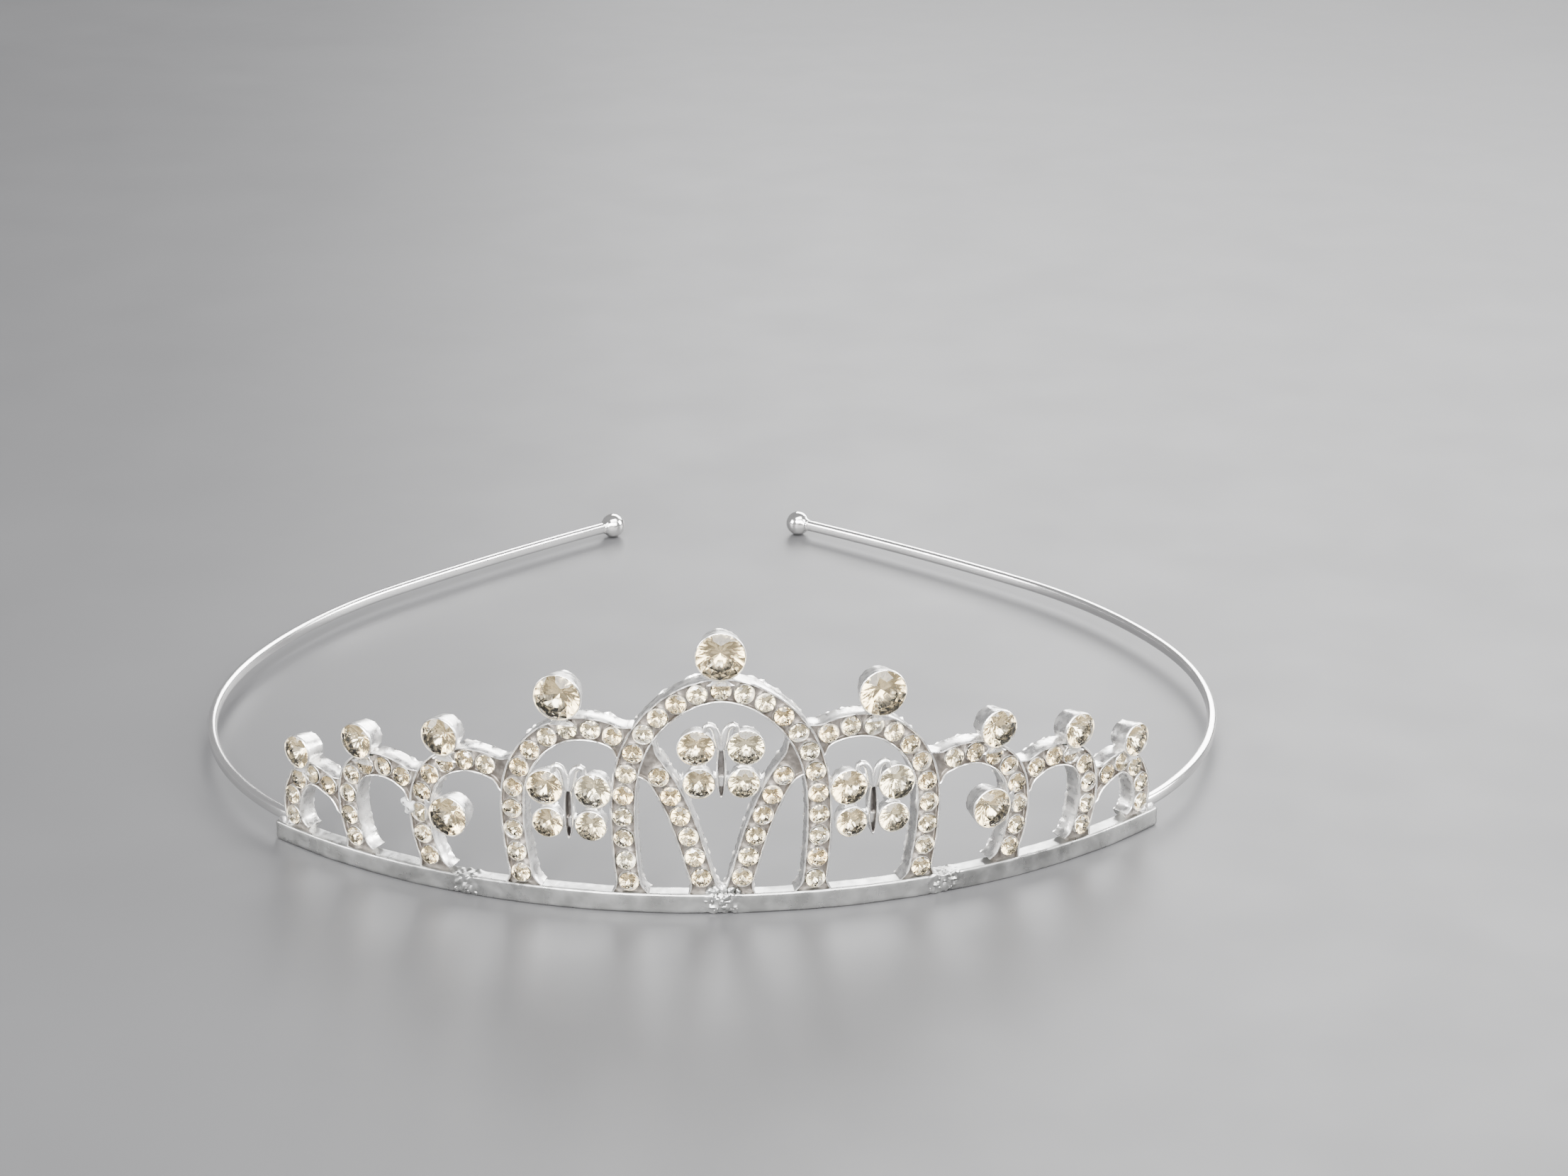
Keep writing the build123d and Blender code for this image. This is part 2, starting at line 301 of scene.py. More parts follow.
# ---- materials ---------------------------------------------------------------------------------
class Finish:
    """A material under construction: noise patterns feed the main shader's sockets."""

    def __init__(self, name):
        self.material = bpy.data.materials.new(name)
        self.material.use_nodes = True
        self.tree = self.material.node_tree
        self.shader = self.tree.nodes["Principled BSDF"]
        self.place = self.tree.nodes.new("ShaderNodeTexCoord").outputs["Object"]

    def set(self, **values):
        for socket, value in values.items():
            self.shader.inputs[socket.replace("_", " ")].default_value = value
        return self

    def pattern(self, size, detail=3.0, source=None):
        """Noise with features of a size in millimetres."""
        made = self.tree.nodes.new("ShaderNodeTexNoise")
        made.inputs["Scale"].default_value = 1 / (size * MM)
        made.inputs["Detail"].default_value = detail
        self.tree.links.new(source or self.place, made.inputs["Vector"])
        return made.outputs["Fac"]

    def ranged(self, source, low, high, start=0.35, end=0.65):
        made = self.tree.nodes.new("ShaderNodeMapRange")
        for socket, value in (("From Min", start), ("From Max", end), ("To Min", low), ("To Max", high)):
            made.inputs[socket].default_value = value
        self.tree.links.new(source, made.inputs["Value"])
        return made.outputs["Result"]

    def colours(self, source, first, second):
        made = self.tree.nodes.new("ShaderNodeMix")
        made.data_type = "RGBA"
        made.inputs["A"].default_value = (*first, 1)
        made.inputs["B"].default_value = (*second, 1)
        self.tree.links.new(source, made.inputs["Factor"])
        self.tree.links.new(made.outputs["Result"], self.shader.inputs["Base Color"])
        return self

    def roughness(self, source):
        self.tree.links.new(source, self.shader.inputs["Roughness"])
        return self

    def bumps(self, source, height, strength=1.0):
        made = self.tree.nodes.new("ShaderNodeBump")
        made.inputs["Strength"].default_value = strength
        made.inputs["Distance"].default_value = height * MM
        self.tree.links.new(source, made.inputs["Height"])
        self.tree.links.new(made.outputs["Normal"], self.shader.inputs["Normal"])
        return self


def metal(name, bright, dull, rough, patch, grain, relief):
    """Plated metal: dull patches, uneven roughness and fine cast grain, sizes in mm."""
    made = Finish(name).set(Metallic=1.0)
    patches = made.pattern(patch)
    made.colours(made.ranged(patches, 0.0, 1.0), bright, dull)
    made.roughness(made.ranged(made.pattern(patch * 0.6, 4), *rough))
    made.bumps(made.pattern(grain, 4), relief)
    return made.material


def glass():
    made = Finish("crystal_glass").set(IOR=1.54)
    made.shader.inputs["Transmission Weight"].default_value = 1.0
    made.colours(made.ranged(made.pattern(1.5), 0.0, 1.0), (1.0, 0.99, 0.96), (0.97, 0.95, 0.89))
    made.roughness(made.ranged(made.pattern(0.5, 4), 0.0, 0.05))
    return made.material


def foil():
    """The champagne backing of the stones, a little different on each stone."""
    made = Finish("crystal_foil").set(Metallic=1.0)
    each = made.tree.nodes.new("ShaderNodeNewGeometry").outputs["Random Per Island"]
    made.colours(made.ranged(each, 0.0, 1.0, 0, 1), (1.0, 0.95, 0.80), (0.94, 0.81, 0.57))
    made.roughness(made.ranged(made.pattern(0.4, 3), 0.04, 0.16))
    made.bumps(made.pattern(0.8, 2), 0.004)
    return made.material


def hard_glue():
    made = Finish("hard_glue").set(IOR=1.5)
    made.shader.inputs["Transmission Weight"].default_value = 0.35
    made.colours(made.ranged(made.pattern(0.6), 0.0, 1.0), (0.88, 0.89, 0.88), (0.76, 0.78, 0.78))
    made.roughness(made.ranged(made.pattern(0.3), 0.25, 0.45))
    return made.material


def wire_metal():
    """Polished wire with fine drawing marks along it."""
    made = Finish("polished_wire").set(Metallic=1.0)
    unrolled = made.tree.nodes.new("ShaderNodeTexCoord").outputs["UV"]
    stretch = made.tree.nodes.new("ShaderNodeMapping")
    stretch.inputs["Scale"].default_value = (0.25 * MM, 6 * MM, 1)
    made.tree.links.new(unrolled, stretch.inputs["Vector"])
    marks = made.pattern(1.0, 4, stretch.outputs["Vector"])
    made.colours(made.ranged(made.pattern(9.0), 0, 1), (0.93, 0.92, 0.91), (0.84, 0.83, 0.82))
    made.roughness(made.ranged(marks, 0.10, 0.22))
    made.bumps(marks, 0.006)
    return made.material


cast_silver = metal("cast_silver", (0.97, 0.96, 0.94), (0.84, 0.82, 0.79), (0.20, 0.42), 1.6, 0.35, 0.02)
# Dark brown-grey metal for the arches' sunk channel floors and pocket walls: painted shade in the recesses.
channel_painted_shade = metal("channel_painted_shade", (0.34, 0.31, 0.28), (0.20, 0.18, 0.16), (0.35, 0.6), 0.8, 0.3, 0.03)
# Dark grey metal for the butterflies' sunk middles: painted shade in the hollow.
groove_painted_shade = metal("groove_painted_shade", (0.42, 0.40, 0.38), (0.22, 0.20, 0.19), (0.3, 0.5), 0.8, 0.3, 0.02)
# The bar's metal is a darker grey than the cast silver: a painted dark reflection on its front.
bar_silver = metal("bar_silver", (0.54, 0.54, 0.53), (0.36, 0.36, 0.35), (0.24, 0.42), 3.0, 0.5, 0.018)
ball_silver = metal("ball_silver", (0.93, 0.92, 0.90), (0.85, 0.84, 0.82), (0.08, 0.18), 2.0, 0.6, 0.006)
solder_metal = metal("solder_metal", (0.84, 0.83, 0.82), (0.62, 0.61, 0.60), (0.22, 0.45), 0.9, 0.4, 0.03)
polished_wire = wire_metal()
glue = hard_glue()
crystal_glass = glass()
crystal_foil = foil()

# ---- stones ----------------------------------------------------------------------------------------
GLASS, FOIL = 0, 1


def ring_of(count, radius, level, shift=0.0):
    return [(radius * cos(tau * (k + shift) / count), radius * sin(tau * (k + shift) / count), level)
            for k in range(count)]


def cut_stone(shape, radius, count, place, twist, lean):
    """A brilliant of a number of main facets, its glass front on a foiled point."""
    first = len(shape.points)
    half = cos(pi / count)
    star_radius, deep_radius = 0.80, 0.34
    star_level = 0.34 - 0.22 * (star_radius * half - 0.58) / 0.42
    deep_level = -0.80 * (1 - deep_radius * half)
    rings = (ring_of(count, 0.58, 0.34), ring_of(count, star_radius, star_level, 0.5),
             ring_of(2 * count, 1.0, 0.12), ring_of(2 * count, 1.0, 0.03),
             ring_of(count, deep_radius, deep_level, 0.5), [(0, 0, -0.80)])
    tilt = (Matrix.Rotation(lean[0], 3, "X") @ Matrix.Rotation(lean[1], 3, "Y")
            @ Matrix.Rotation(twist, 3, "Z"))
    for ring in rings:
        shape.points += [place(*(tilt @ (Vector(point) * radius))) for point in ring]
    table, star = first, first + count
    girdle, waist = first + 2 * count, first + 4 * count
    deep, tip = first + 6 * count, first + 7 * count
    shape.face((table + k for k in range(count)), GLASS)
    for k in range(count):
        after, before, edge = (k + 1) % count, (k - 1) % count, 2 * k
        beside, next_edge = 2 * k + 1, (2 * k + 2) % (2 * count)
        shape.face((table + k, star + k, table + after), GLASS)
        shape.face((table + k, star + before, girdle + edge, star + k), GLASS)
        shape.face((star + k, girdle + edge, girdle + beside), GLASS)
        shape.face((star + k, girdle + beside, girdle + next_edge), GLASS)
        shape.face((girdle + edge, waist + edge, waist + beside, girdle + beside), GLASS)
        shape.face((girdle + beside, waist + beside, waist + next_edge, girdle + next_edge), GLASS)
        shape.face((tip, deep + k, waist + edge, deep + before), FOIL)
        shape.face((deep + k, waist + beside, waist + edge), FOIL)
        shape.face((deep + k, waist + next_edge, waist + beside), FOIL)


def small_stones(name, seats, nodes):
    """A row of small stones, each set a little out of line."""
    chance = random.Random(name)
    shape = Shape()
    for along, height in seats:
        place = tangent_place((along + chance.uniform(-0.05, 0.05), height + chance.uniform(-0.05, 0.05)),
                              chance.uniform(-0.06, 0.04) - seat_sink)
        lean = [radians(chance.uniform(-7, 7)) for _ in range(2)]
        cut_stone(shape, small_stone_radius, 6, place, chance.uniform(0, tau), lean)
    return piece(shape, name, [crystal_glass, crystal_foil], nodes, sharp=0)


# ---- arches ----------------------------------------------------------------------------------------
def strip_outline():
    """Half of a strip's section as (across, out), from near the floor's middle round to the back."""
    wall, floor = strip_half_width - rim_width, -channel_depth
    return [(0.55, floor), (wall - 0.12, floor), (wall - 0.02, floor + 0.12), (wall, -0.12),
            (wall + 0.05, -0.03), (wall + 0.11, 0.0), (strip_half_width - 0.05, -0.03),
            (strip_half_width, -0.12), (strip_half_width - 0.02, -1.2),
            (strip_half_width - 0.04, -strip_depth + 0.22),
            (strip_half_width - 0.04, -strip_depth + 0.12), (strip_half_width - 0.12, -strip_depth),
            (0.6, -strip_depth)]


def flare(edge, blockers):
    """How much a strip widens as its edge nears the bar or another arch."""
    gaps = [other.gap_to(edge) - strip_half_width for other in blockers]
    gap = min([edge[1] - bar_height] + gaps)
    return flare_spread * max(0.0, 1 - max(gap, 0.0) / flare_reach) ** 2


def strip_ring(outline, middle, across_way, distance, blockers):
    """A strip's section at a place, uneven, with a ragged edge where the mould parted."""
    spread = {side: flare(middle + side * strip_half_width * across_way, blockers) for side in (-1, 1)}
    ring = []
    for number, (across, out) in enumerate(outline):
        side = 1 if across > 0 else -1
        if abs(across) > strip_half_width - rim_width - 0.2:
            across += side * spread[side]
        seed = (distance, side * 9 + number * 0.35, len(blockers))
        if out == -strip_depth + 0.12:
            across += side * max(0.0, uneven(seed, 0.5, 0.42) + 0.03)
        across += uneven(seed, 1.1, 0.035)
        out += uneven(seed, 0.9, 0.05 if out == -channel_depth else 0.02)
        place = middle + across * across_way
        ring.append((place[0], place[1], out - strip_setback))
    return ring


def strip(line, start, end, blockers):
    """An arch's metal between two distances on its line, with raised rims and a sunk floor painted dark as
    shade.
    """
    half = strip_outline()
    outline = half + [(-across, out) for across, out in reversed(half)]
    count = len(half)
    # The channel floor's faces take the dark channel metal, painted shade.
    floor_shade_faces = [1 if k < 3 or k >= 2 * count - 4 else 0 for k in range(2 * count)]
    steps = int((end - start) / station_gap)
    rings = []
    for step in range(steps + 1):
        distance = start + (end - start) * step / steps
        forward = line.direction(distance)
        across_way = np.array([forward[1], -forward[0]])
        rings.append(strip_ring(outline, line.place(distance), across_way, distance, blockers))
    shape = Shape()
    shape.skin(rings, floor_shade_faces)
    return shape


def strip_cutter(line):
    """A plain deep strip, a little narrower than an arch, that trims what runs into the arch."""
    rings = []
    width = strip_half_width - 0.12
    for step in range(int(line.length / 0.8) + 1):
        distance = line.length * step / int(line.length / 0.8)
        middle, forward = line.place(distance), line.direction(distance)
        across_way = np.array([forward[1], -forward[0]]) * width
        low, high = middle - across_way, middle + across_way
        rings.append([(*high, 1.0), (*low, 1.0), (*low, -4.0), (*high, -4.0)][::-1])
    shape = Shape()
    shape.skin(rings)
    return shape


def block(low, high):
    (x0, y0, z0), (x1, y1, z1) = low, high
    shape = Shape()
    shape.skin([[(x0, y0, z), (x1, y0, z), (x1, y1, z), (x0, y1, z)] for z in (z0, z1)])
    return shape


def pockets(seats):
    """Round holes in an arch's floor, which leave room for the stones' points."""
    shape = Shape()
    for seat in seats:
        place = flat_place(seat, -seat_sink)
        rings = [ring_of(20, pocket_radius, level) for level in (-1.25, -0.3)]
        # The pocket walls take the dark channel metal as well, painted shade in the holes.
        shape.skin([[place(*point) for point in ring] for ring in rings], 1)
    return shape


def seat_rings(shape, seats, seed):
    """The thin raised rings that hold the small stones."""
    chance = random.Random(seed)
    inner = small_stone_radius + 0.02
    outline = [(inner, -0.02), (inner + 0.02, 0.08), ((inner + ring_outer) / 2, 0.13),
               (ring_outer - 0.01, 0.07), (ring_outer, -0.05), (ring_outer + 0.03, -0.55),
               (0.75, -0.55), (0.78, -0.35)]
    for along, height in seats:
        place = flat_place((along + chance.uniform(-0.03, 0.03), height + chance.uniform(-0.03, 0.03)),
                           -seat_sink + chance.uniform(-0.04, 0.02))
        start = chance.uniform(0, 50)
        shape.turn(outline, place, 28, looped=True,
                   wobble=lambda number, angle: uneven((start, 2 * cos(angle), 2 * sin(angle)), 1.0, 0.05))


def seats_on(line, count, first, from_end=False):
    found = []
    for index in range(count):
        distance = first + index * seat_pitch
        found.append(tuple(line.place(line.length - distance if from_end else distance)))
    return found


def arch(name, line, start, end, seats, passed, extra=None):
    cutters = [block((-70, -2, -6), (70, bar_height - 0.08, 3)), pockets(seats)]
    shape = strip(line, start, end, [other for other, _ in passed])
    shape = without(shape, cutters + [cutter for _, cutter in passed])
    seat_rings(shape, seats, name)
    if extra:
        extra(shape)
    piece(shape.wrapped(), f"{name}_metal", [cast_silver, channel_painted_shade, glue], [name])
    small_stones(f"{name}_crystals", seats, [f"{name}_stones"])


def mirrored(points, side):
    return [(side * along, height) for along, height in points]


def crumb(shape, middle, size, finish, amount):
    """An uneven ball on the unrolled crown."""
    rings = []
    for row in range(1, 10):
        angle = pi * row / 10
        ring = []
        for k in range(18):
            turn = tau * k / 18
            way = Vector((sin(angle) * cos(turn), sin(angle) * sin(turn), cos(angle)))
            reach = size * (1 + uneven(way + Vector(middle), 0.8, amount))
            along, height, proud = Vector(middle) + way * reach
            ring.append((along, max(0.0, height), proud))
        rings.append(ring[::-1])
    shape.skin(rings, finish)


def glue_nub(shape):
    """A lobed crumb of hard glue left on the outer side of the left second arch's leg."""
    crumb(shape, (-39.0, 10.0, -0.5), 0.80, 2, 0.3)
    crumb(shape, (-39.9, 10.5, -0.7), 0.60, 2, 0.3)
    crumb(shape, (-39.5, 9.4, -0.6), 0.45, 2, 0.3)


def clamp_side(side):
    """Stops the two inner legs at the middle, where they meet."""
    def clamp(shape):
        for point in shape.points:
            point.x = side * max(side * point.x, 0.0)
    return clamp


def build_arches():
    centre = Line(mirrored(centre_side, -1) + [centre_crest] + list(reversed(centre_side)))
    arch("centre_arch", centre, 0, centre.length, seats_on(centre, *centre_row), [])
    for side_name, side in SIDES:
        passed = (centre, strip_cutter(centre))
        for key, points in arch_points.items():
            name = f"{side_name}_{key}_arch"
            line = Line(mirrored(points, side))
            seats = seats_on(line, *seat_rows[key])
            end = line.length
            if key == "main":
                leg_seats = seats_on(line, *inner_leg_row, from_end=True)
                gaps = np.linalg.norm(centre.places[:, None] - line.places[None], axis=2).min(axis=0)
                end = line.distances[int(np.argmin(gaps))]
                arch(f"{side_name}_inner_leg", line, end, line.length, leg_seats, [passed],
                     clamp_side(side))
            arch(name, line, 0, end, seats, [passed], glue_nub if name == "left_second_arch" else None)
            passed = (line, strip_cutter(line))


# ---- cups --------------------------------------------------------------------------------------------
def cup(shape, place, radius, wall, depth, seed, segments=44):
    """A tapered cup with a thin bezel at z = 0 and a rough cast side."""
    inner = radius - wall
    lip = -0.12 * inner
    outline = [(0.35 * radius, -depth), (cup_taper * radius - 0.12, -depth),
               (cup_taper * radius, -depth + 0.12),
               (cup_taper * radius + 0.02, -depth + 0.26), (0.87 * radius, -0.64 * depth),
               (0.94 * radius, -0.32 * depth), (radius - 0.02, -0.26), (radius, -0.10),
               (radius - 0.05, 0.0), (radius - 0.12, 0.05), (inner + 0.06, 0.03),
               (inner + 0.015, -0.05), (inner + 0.02, lip - 0.05),
               (0.6 * inner, -0.48 * inner - 0.05), (0.3 * inner, -0.75 * inner), (0.08, -0.98 * inner)]
    amounts = (0, 0, 0.16, 0.10, 0.05, 0.05, 0.03, 0.02, 0.02, 0.02, 0.01, 0, 0, 0, 0, 0)

    def wobble(number, angle):
        point = (seed + outline[number][1], radius * cos(angle), radius * sin(angle))
        return uneven(point, 0.55, amounts[number]) + uneven(point, 2.2, min(amounts[number], 0.03))

    shape.turn(outline, place, segments, wobble=wobble)


def bridge(shape, start, end, width, front, back, place, spread=1.45):
    """A short bar between two places, wider where it joins them."""
    start, end = np.array(start, float), np.array(end, float)
    forward = (end - start) / hypot(*(end - start))
    across = np.array([-forward[1], forward[0]])
    rings = []
    for share in (0, 0.15, 0.32, 0.5, 0.68, 0.85, 1):
        half = width / 2 * (1 + (spread - 1) * (2 * share - 1) ** 2)
        middle = start + (end - start) * share
        ring = []
        for side, level in ((1, back), (1, front - 0.12), (0.8, front),
                            (-0.8, front), (-1, front - 0.12), (-1, back)):
            x, y = middle + side * half * across
            ring.append(place(x, y, level + uneven((x, y, level), 0.6, 0.05)))
        rings.append(ring)
    shape.skin(rings)


def setting(name, where, radius, toward):
    """A big cup with its stone, and a flared neck down to its arch."""
    shape = Shape()
    place = tangent_place(where, cup_proud)
    cup(shape, place, radius, big_wall, cup_depth, where[0])
    near = radius * 0.84
    far = radius + 0.95
    bridge(shape, (toward[0] * near, toward[1] * near), (toward[0] * far, toward[1] * far), 1.9,
           -strip_setback - cup_proud - 0.06, -cup_proud - 2.1, place, 1.75)
    piece(shape, f"{name}_setting", [cast_silver], [f"{name}_cup"])
    chance = random.Random(name)
    stone_radius = radius - big_wall
    seat = tangent_place(where, cup_proud - 0.12 * stone_radius)
    stone = Shape()
    lean = [radians(chance.uniform(-3, 3)) for _ in range(2)]
    cut_stone(stone, stone_radius, 8, seat, chance.uniform(0, tau), lean)
    piece(stone, f"{name}_crystal", [crystal_glass, crystal_foil], [f"{name}_stone"], sharp=0)


# ---- butterflies ---------------------------------------------------------------------------------------
def oval(half_width, half_length, segments=36):
    """A long oval with a fuller top and a pointed tail."""
    points = []
    for k in range(segments):
        angle = tau * k / segments
        x, y = cos(angle), sin(angle)
        narrow = 1 - 0.22 * max(0.0, -y) ** 2
        points.append((half_width * narrow * abs(x) ** 0.75 * (1 if x > 0 else -1), half_length * y))
    return points


def butterfly_body(shape, place):
    """A long body with a rounded rim, whose sunk middle is painted dark as shade."""
    sizes = ((0.36, 3.1, -1.40), (0.50, 3.3, -1.25), (0.60, 3.4, 0.15), (0.58, 3.38, 0.36),
             (0.50, 3.3, 0.45), (0.38, 3.2, 0.42), (0.30, 3.1, 0.25), (0.26, 3.0, -0.7))
    rings = []
    for half_width, half_length, level in sizes:
        rings.append([place(x, y, level) for x, y in oval(half_width, half_length)])
    shape.skin(rings)
    # The sunk middle's inner wall and floor take the dark groove metal, painted shade.
    caps = len(shape.faces) - 2
    for number in (*range(caps - len(rings[0]), caps), caps + 1):
        shape.finishes[number] = 2


def antenna(shape, side, place):
    """A stout feeler that rises from the head and curls down on the upper wing."""
    path = Line([(0.05, 2.9), (0.45, 4.3), (1.02, 5.75), (1.45, 5.95), (1.85, 5.15)])
    rings = []
    for step in range(15):
        distance = path.length * step / 14
        middle, forward = path.place(distance), path.direction(distance)
        across = np.array([forward[1], -forward[0]])
        half = 0.36 + 0.12 * sin(pi * min(1.0, step / 11))
        ring = []
        for k in range(12):
            angle = tau * k / 12
            x, y = middle + across * half * cos(angle)
            ring.append(place(side * x, y, 0.1 + 0.45 * sin(angle)))
        rings.append(ring if side > 0 else ring[::-1])
    shape.skin(rings)


def shifted(place, dx, dy, dz):
    return lambda x, y, z: place(dx + x, dy + y, dz + z)


def build_wing(shape, stones, place, middle, radius, seed, chance):
    """A wing: its cup, the short bar to the body, and its stone."""
    across, up = middle
    cup(shape, shifted(place, across, up, wing_proud), radius, wing_wall, wing_depth, seed, 36)
    reach = abs(across) - 0.86 * radius
    end = (reach if across > 0 else -reach, up)
    bridge(shape, (0, up), end, 1.2, -0.35, -1.75, place, 1.3)
    stone_radius = radius - wing_wall
    lean = [radians(chance.uniform(-5, 5)) for _ in range(2)]
    seat = shifted(place, across, up, wing_proud - 0.12 * stone_radius)
    cut_stone(stones, stone_radius, 8, seat, chance.uniform(0, tau), lean)


def build_butterfly(name, where):
    shape, stones = Shape(), Shape()
    chance = random.Random(name)
    place = tangent_place(where, 0)
    for (across, up), radius in (upper_wing, lower_wing):
        for side in (-1, 1):
            seed = where[0] + across * side + up
            build_wing(shape, stones, place, (side * across, up), radius, seed, chance)
    near, far = ((4.3, -1.7), (4.95, -1.8)) if name == "centre" else ((4.9, 3.0), (5.25, 3.0))
    for side in (-1, 1):
        bridge(shape, (side * 2.8, 1.0), (side * 2.7, 0.15), 1.3, -0.4, -1.75, place)
        bridge(shape, (side * near[0], near[1]), (side * far[0], far[1]), 1.2, -0.4, -1.8, place, 1.9)
        antenna(shape, side, place)
    butterfly_body(shape, place)
    piece(shape, f"{name}_butterfly_metal", [cast_silver, channel_painted_shade, groove_painted_shade],
          [f"{name}_butterfly"])
    piece(stones, f"{name}_butterfly_crystals", [crystal_glass, crystal_foil],
          [f"{name}_butterfly_stones"], sharp=0)


# ---- base bar --------------------------------------------------------------------------------------------
def bar_outline(corner=0.28):
    """The bar's section as (proud, height), anticlockwise from the foot of its front."""
    points = []
    corners = ((-corner, corner, -90), (-corner, bar_height - corner, 0),
               (-bar_depth + corner, bar_height - corner, 90), (-bar_depth + corner, corner, 180))
    for number, (x, y, start) in enumerate(corners):
        for k in range(4):
            angle = radians(start + 30 * k)
            points.append((x + corner * cos(angle), y + corner * sin(angle)))
        following = corners[(number + 1) % 4]
        angle = radians(following[2])
        goal = (following[0] + corner * cos(angle), following[1] + corner * sin(angle))
        last = points[-1]
        for k in range(1, 6):
            points.append(tuple(a + (b - a) * k / 6 for a, b in zip(last, goal)))
    return points


def lumpiness(along):
    return max(max(0.0, 1 - ((along - place) / reach) ** 2) for place, reach in lumps)


def scattered_crumbs():
    """Smaller solder crumbs around each rough place on the bar, as (along, height, size)."""
    chance = random.Random("crumbs")
    return [(place + chance.uniform(-0.75, 0.75) * reach, chance.uniform(0.2, bar_height),
             chance.uniform(0.18, 0.36)) for place, reach in lumps for _ in range(14)]


def build_bar():
    outline = bar_outline()
    centre = (-bar_depth / 2, bar_height / 2)
    rings = []
    count = int(2 * bar_half_length / 0.22)
    for step in range(count + 1):
        along = bar_half_length * (2 * step / count - 1)
        shrink = max(0.0, 1 - (bar_half_length - abs(along)) / 0.3) * 0.25
        lump = lumpiness(along)
        ring = []
        for proud, height in outline:
            way = Vector((proud - centre[0], height - centre[1])).normalized()
            point = (along, proud, height)
            amount = uneven(point, 4.5, 0.07) + uneven(point, 0.8, 0.02)
            amount += lump * (uneven((along, proud * 2, height * 2), 0.7, 0.40) + 0.02)
            proud += way[0] * (amount - shrink)
            height = max(0.0, height + way[1] * (amount - shrink))
            ring.append(on_crown(along, height, proud))
        rings.append(ring)
    shape = Shape()
    shape.skin(rings)
    solder = Shape()
    for along, height, size in foot_crumbs + scattered_crumbs():
        crumb(solder, (along, height, -0.25 if height < bar_height else -0.75), size, 0, 0.5)
    shape.add(solder.wrapped())
    # The bar is finished in the darker grey metal, a painted dark reflection.
    piece(shape, "base_bar_metal", [bar_silver], ["base_bar"], sharp=50)


# ---- headband ---------------------------------------------------------------------------------------------
def wire_path(side):
    """Points and headings of the wire's middle line, and where the arm flexes."""
    turn = wire_start / crown_radius
    x, y = on_crown(wire_start, 0, -bar_depth / 2)[:2]
    heading = turn
    path, flex = [(x, y, heading)], None
    for bend in wire_bends:
        if bend is None:
            flex = (x + hinge_gap / 2 * cos(heading), y + hinge_gap / 2 * sin(heading))
            x, y = x + hinge_gap * cos(heading), y + hinge_gap * sin(heading)
            path.append((x, y, heading))
            continue
        radius, degrees_turned = bend
        steps = max(2, int(radius * radians(degrees_turned) / 1.0))
        middle = (x - radius * sin(heading), y + radius * cos(heading))
        start = heading
        for step in range(1, steps + 1):
            heading = start + radians(degrees_turned) * step / steps
            x = middle[0] + radius * sin(heading)
            y = middle[1] - radius * cos(heading)
            path.append((x, y, heading))
    return path, flex


def wire_level(y):
    start_y = on_crown(wire_start, 0, -bar_depth / 2).y
    return start_height + (y - start_y) * (ball_radius - start_height) / (back_y - start_y)


def rounded_section(half_x, half_y, corner, steps=4):
    points = []
    for x, y, start in ((half_x - corner, half_y - corner, 0), (corner - half_x, half_y - corner, 90),
                        (corner - half_x, corner - half_y, 180), (half_x - corner, corner - half_y, 270)):
        for k in range(steps + 1):
            angle = radians(start + 90 * k / steps)
            points.append((x + corner * cos(angle), y + corner * sin(angle)))
    return points


def unroll(made, around):
    """Map the wire's skin flat, by the number of its ring along it and its corner around it."""
    mesh = made.data
    layer = mesh.uv_layers.new(name="along_wire")
    for polygon in mesh.polygons:
        for corner in polygon.loop_indices:
            vertex = mesh.loops[corner].vertex_index
            layer.data[corner].uv = (vertex // around, vertex % around)


def build_wire(side_name, side):
    path, flex = wire_path(side)
    section = rounded_section(wire_thickness / 2, wire_height / 2, wire_corner)
    rings = []
    for number, (x, y, heading) in enumerate(path):
        shrink = 0.92 if number == 0 else 1.0
        ring = []
        for across, up in section:
            px = x + sin(heading) * across * shrink
            py = y - cos(heading) * across * shrink
            ring.append((side * px, py, wire_level(y) + up * shrink))
        rings.append(ring if side > 0 else ring[::-1])
    shape = Shape()
    shape.skin(rings)
    wire = piece(shape, f"{side_name}_wire", [polished_wire],
                 [f"{side_name}_wire_end", f"{side_name}_headband_arm"], body=None, sharp=60)
    unroll(wire, len(section))
    x, y = flex
    heading = path[len(path) // 8][2]       # a little past the place where the arm flexes
    level = wire_level(y)
    start = (side * (x - 1.6 * cos(heading)) * MM, (y - 1.6 * sin(heading)) * MM, level * MM)
    end = (side * (x + 9.0 * cos(heading)) * MM, (y + 9.0 * sin(heading)) * MM, level * MM)
    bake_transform(wire)
    build_ball(side_name, side, path[-1])
    build_solder(side_name, side)


def build_ball(side_name, side, wire_end):
    x, y, heading = wire_end
    reach = ball_radius - wire_in_ball
    middle = Vector((side * (x + reach * cos(heading)), y + reach * sin(heading), ball_radius))
    forward = Vector((side * cos(heading), sin(heading), 0))
    across = forward.cross(Vector((0, 0, 1)))
    outline = [(0.80, -1.98), (0.86, -1.98), (0.90, -1.90), (0.92, -1.72), (0.98, -1.52)]
    for k in range(1, 17):
        angle = radians(-52 + 140 * k / 16)
        outline.append((ball_radius * cos(angle), ball_radius * sin(angle)))
    shape = Shape()
    shape.turn(outline, lambda a, b, c: middle + across * a + Vector((0, 0, b)) + forward * c, 36)
    piece(shape, f"{side_name}_ball", [ball_silver], [f"{side_name}_ball_tip"],
          f"{side_name}_arm", 50)


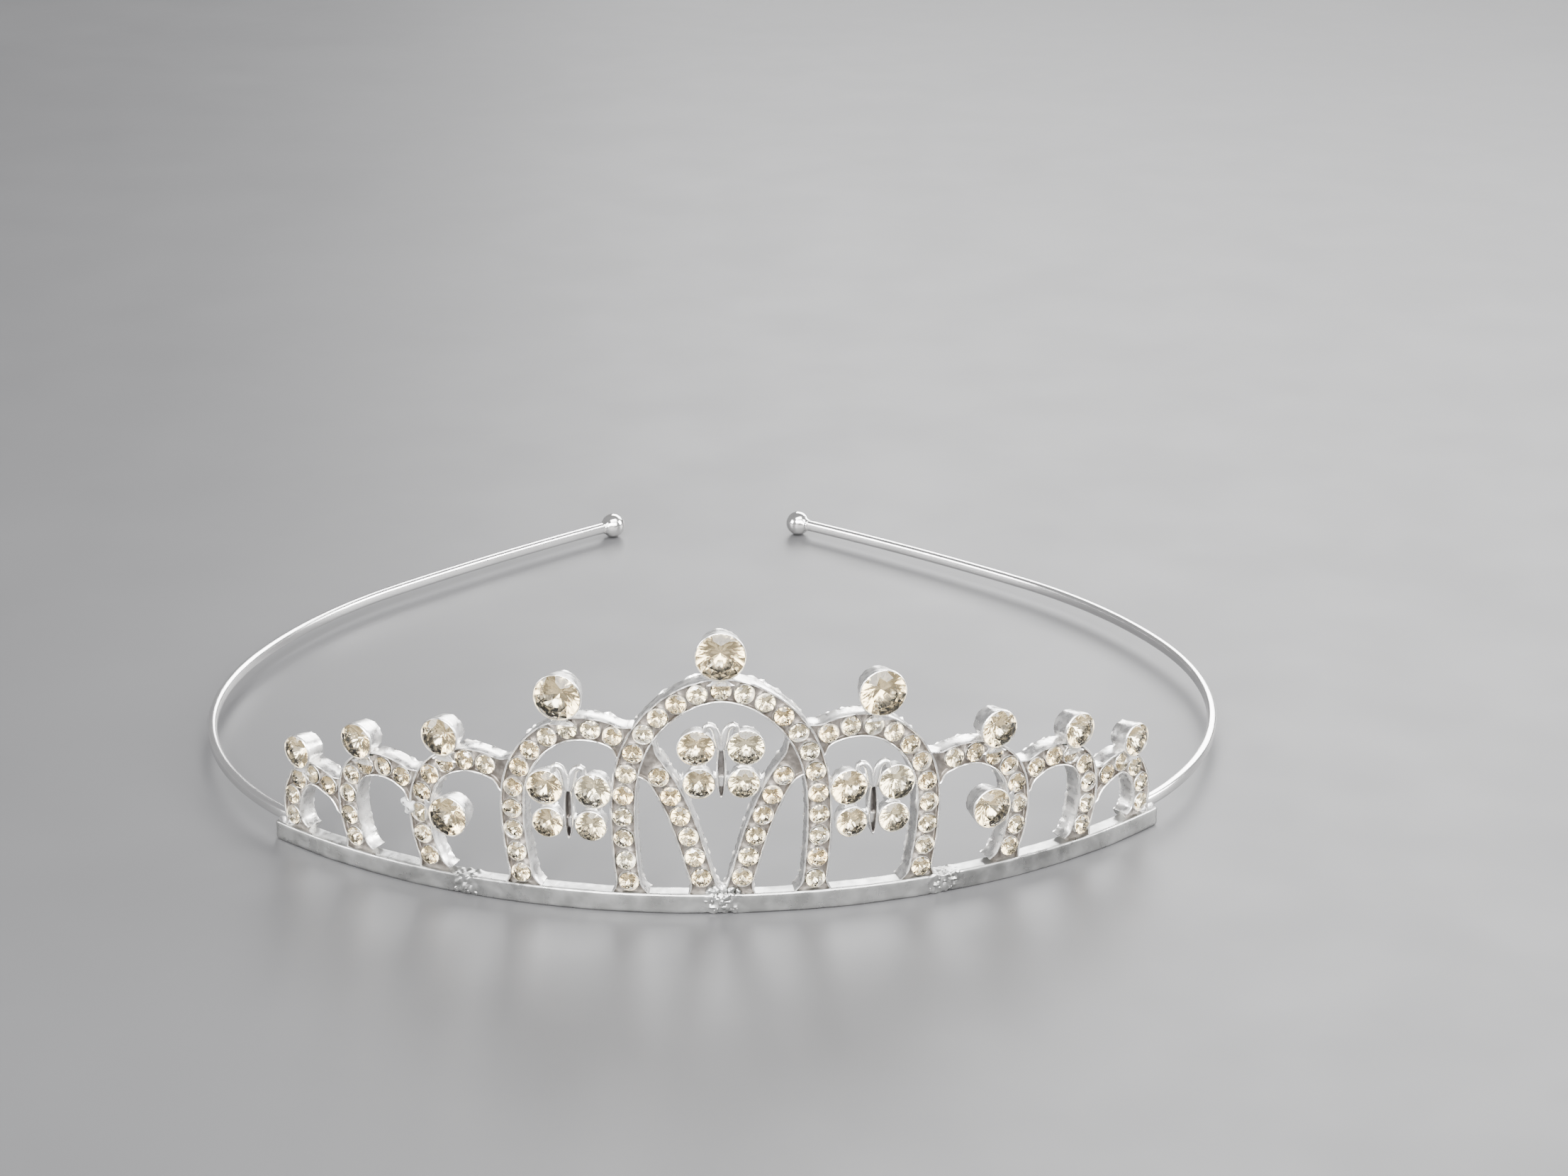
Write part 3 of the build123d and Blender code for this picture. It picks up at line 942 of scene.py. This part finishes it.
def build_solder(side_name, side):
    """A low lumpy mound that holds the wire's end on the bar."""
    place = tangent_place((side * (bar_half_length - 1.5), bar_height - 0.25), -bar_depth / 2)
    rings = []
    for row in range(1, 12):
        angle = pi * row / 12
        ring = []
        for k in range(28):
            turn = tau * k / 28
            x, z, up = 1.5 * sin(angle) * cos(turn), 0.98 * sin(angle) * sin(turn), 1.25 * cos(angle)
            grow = 1 + uneven((x + side * 5, z, up), 0.7, 0.16)
            ring.append(place(x * grow, max(-0.2, up * grow), z * grow))
        rings.append(ring[::-1])
    shape = Shape()
    shape.skin(rings)
    piece(shape, f"{side_name}_solder_mound", [solder_metal], [f"{side_name}_solder"], sharp=60)


# ---- stage ------------------------------------------------------------------------------------------------
def build_stage():
    mesh = bpy.data.meshes.new("floor")
    reach = 0.8
    corners = [(-reach, -reach, 0), (reach, -reach, 0), (reach, reach, 0), (-reach, reach, 0)]
    mesh.from_pydata(corners, [], [(0, 1, 2, 3)])
    floor = bpy.data.objects.new("floor", mesh)
    bpy.context.collection.objects.link(floor)
    paint = Finish("pale_floor")
    paint.colours(paint.ranged(paint.pattern(60.0), 0, 1), (0.068, 0.068, 0.070), (0.063, 0.063, 0.065))
    paint.roughness(paint.ranged(paint.pattern(20.0), 0.46, 0.50))
    mesh.materials.append(paint.material)


def softbox(name, place, aim, size, power):
    light = bpy.data.lights.new(name, "AREA")
    light.shape, light.size, light.size_y, light.energy = "RECTANGLE", *size, power
    made = bpy.data.objects.new(name, light)
    made.location = place
    made.rotation_euler = (Vector(aim) - Vector(place)).to_track_quat("-Z", "Y").to_euler()
    bpy.context.collection.objects.link(made)


def build_lights():
    world = bpy.data.worlds.new("studio")
    world.use_nodes = True
    world.node_tree.nodes["Background"].inputs["Color"].default_value = (0.43, 0.43, 0.44, 1)
    world.node_tree.nodes["Background"].inputs["Strength"].default_value = 0.95
    bpy.context.scene.world = world
    softbox("back_box", (0.30, 0.80, 0.45), (0.0, 0.02, 0.02), (0.8, 0.45), 15)
    softbox("right_box", (0.85, 0.10, 0.38), (0.0, 0.02, 0.02), (0.45, 0.45), 13)
    softbox("left_box", (-0.85, -0.20, 0.32), (0.0, 0.02, 0.02), (0.4, 0.4), 9)
    softbox("top_box", (0.08, -0.24, 0.90), (0.0, 0.02, 0.02), (1.0, 0.45), 18)
    softbox("front_box", (0.10, -0.65, 0.50), (0.0, 0.0, 0.01), (1.0, 0.45), 22)
    softbox("sparkle_box", (-0.30, -0.60, 0.50), (0.0, 0.0, 0.02), (0.12, 0.12), 6)


def build_camera():
    lens = bpy.data.cameras.new("camera")
    lens.sensor_width, lens.lens, lens.clip_start = 36, 81.37, 0.01
    made = bpy.data.objects.new("camera", lens)
    made.location = Vector((-6.19, -379.27, 191.65)) * MM
    made.rotation_euler = Vector((0.0333, 0.9290, -0.3685)).to_track_quat("-Z", "Y").to_euler()
    bpy.context.collection.objects.link(made)
    bpy.context.scene.camera = made


# ---- the whole tiara ---------------------------------------------------------------
build_arches()
setting("centre_top", *centre_setting, (0, -1))
for side_name, side in SIDES:
    for key, (where, radius) in top_settings.items():
        setting(f"{side_name}_{key}_top", *mirrored([where], side), radius, (0, -1))
    setting(f"{side_name}_side", *mirrored([side_setting[0]], side), side_setting[1], (side, 0))
for name, where in butterfly_places.items():
    build_butterfly(name, where)
build_bar()
for side_name, side in SIDES:
    build_wire(side_name, side)
build_stage()
build_lights()
build_camera()
